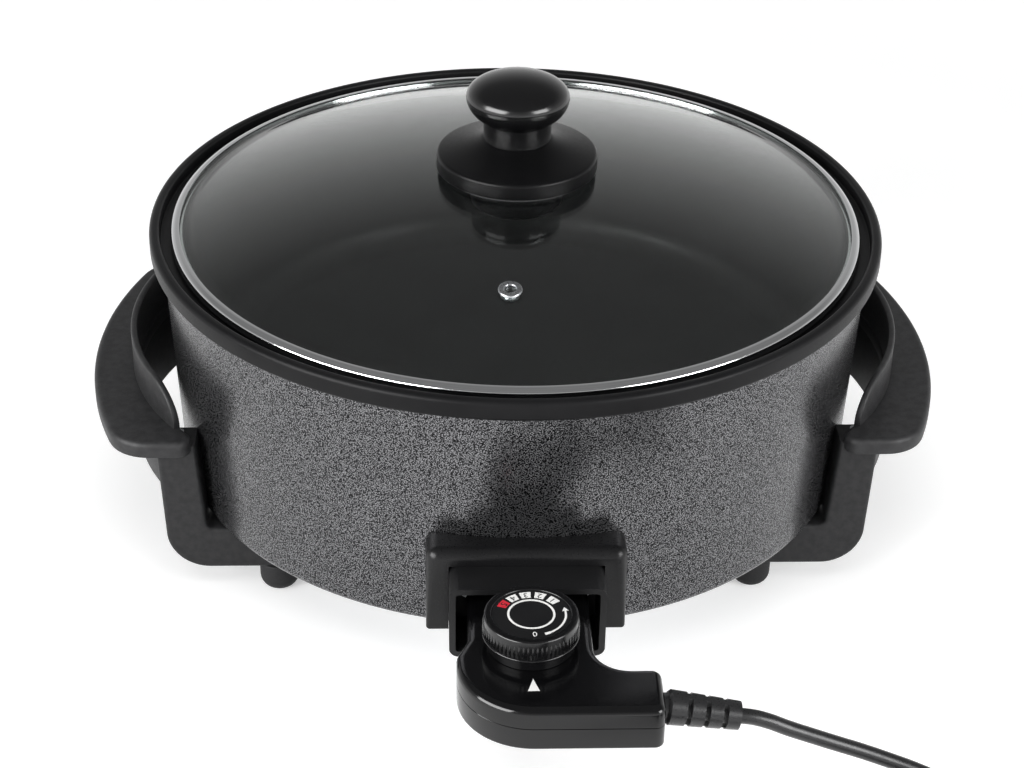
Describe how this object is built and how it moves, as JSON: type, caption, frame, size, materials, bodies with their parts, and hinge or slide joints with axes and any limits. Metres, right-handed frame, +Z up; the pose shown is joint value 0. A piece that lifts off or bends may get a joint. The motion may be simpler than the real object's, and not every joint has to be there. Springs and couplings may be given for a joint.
{
  "type": "electric skillet",
  "caption": "Round electric skillet with a domed glass lid, side handles carried on legs, and a plug-in thermostat control with a dial and mains cord.",
  "frame": {"origin": "on the table, under the middle of the pan, midway between the four feet", "axes": "+Z up along the pan's axis, -Y towards the control at the front, +X towards the right handle"},
  "size_m": [0.4091, 0.533, 0.2225],
  "materials": {
    "casing_paint": "grey hammered enamel",
    "nonstick": "satin black non-stick coating",
    "steel": "plain",
    "base_sheet": "galvanised",
    "element_sheath": "heat-darkened",
    "brass": "plain",
    "ceramic": "unglazed ceramic",
    "socket_plastic": "semi-matte bakelite",
    "handle_plastic": "matte charcoal bakelite",
    "foot_rubber": "matte",
    "glass": "clear tempered",
    "polished_steel": "polished",
    "knob_plastic": "glossy bakelite",
    "control_plastic": "glossy",
    "cord_rubber": "satin"
  },
  "bodies": {
    "pan": {"outer_casing": "casing_paint", "inner_pan": "nonstick", "pan_studs": "steel", "base_plate": "base_sheet", "base_nuts": "steel", "heating_element": "element_sheath", "terminal_pins": "brass", "terminal_block": "ceramic", "probe_guide": "steel", "earth_strip": "brass", "socket_frame": "socket_plastic", "socket_collar": "socket_plastic", "socket_screws": "steel", "left_handle": "handle_plastic", "right_handle": "handle_plastic", "front_left_leg": "handle_plastic", "rear_left_leg": "handle_plastic", "front_right_leg": "handle_plastic", "rear_right_leg": "handle_plastic", "handle_screws": "steel", "leg_screws": "steel", "leg_nuts": "steel", "feet": "foot_rubber"},
    "lid": {"lid_glass": "glass", "lid_ring": "polished_steel", "vent_eyelet": "polished_steel", "knob_grip": "knob_plastic", "knob_base": "knob_plastic", "knob_gasket": "foot_rubber", "knob_boss": "knob_plastic", "knob_screw": "steel"},
    "control": {"control_upper": "control_plastic", "control_lower": "control_plastic", "sensor_probe": "steel", "contact_sleeves": "brass", "earth_contact": "brass", "thermostat_base": "ceramic", "bimetal_blade": "brass", "contact_arm": "brass", "housing_screws": "steel", "cord_clamp": "control_plastic", "strain_relief": "cord_rubber", "cord_run": "cord_rubber", "cord_coil": "cord_rubber", "cord_tail": "cord_rubber", "cord_tie": "cord_rubber", "plug_body": "cord_rubber", "plug_pins": "steel", "plug_earth_clips": "steel"},
    "dial": {"dial_knob": "control_plastic", "dial_face": "control_plastic", "dial_spindle": "steel"}
  },
  "joints": [
    {"name": "lid_lift", "type": "slide", "parent": "pan", "child": "lid", "axis": [0, 0, 1], "range_m": [0, 0.12]},
    {"name": "control_pull", "type": "slide", "parent": "pan", "child": "control", "axis": [0, -1, 0], "range_m": [0, 0.08]},
    {"name": "dial_turn", "type": "hinge", "parent": "control", "child": "dial", "pos_m": [0, -0.208, 0.08], "axis": [0, 0, -1], "range_deg": [0, 240]}
  ]
}
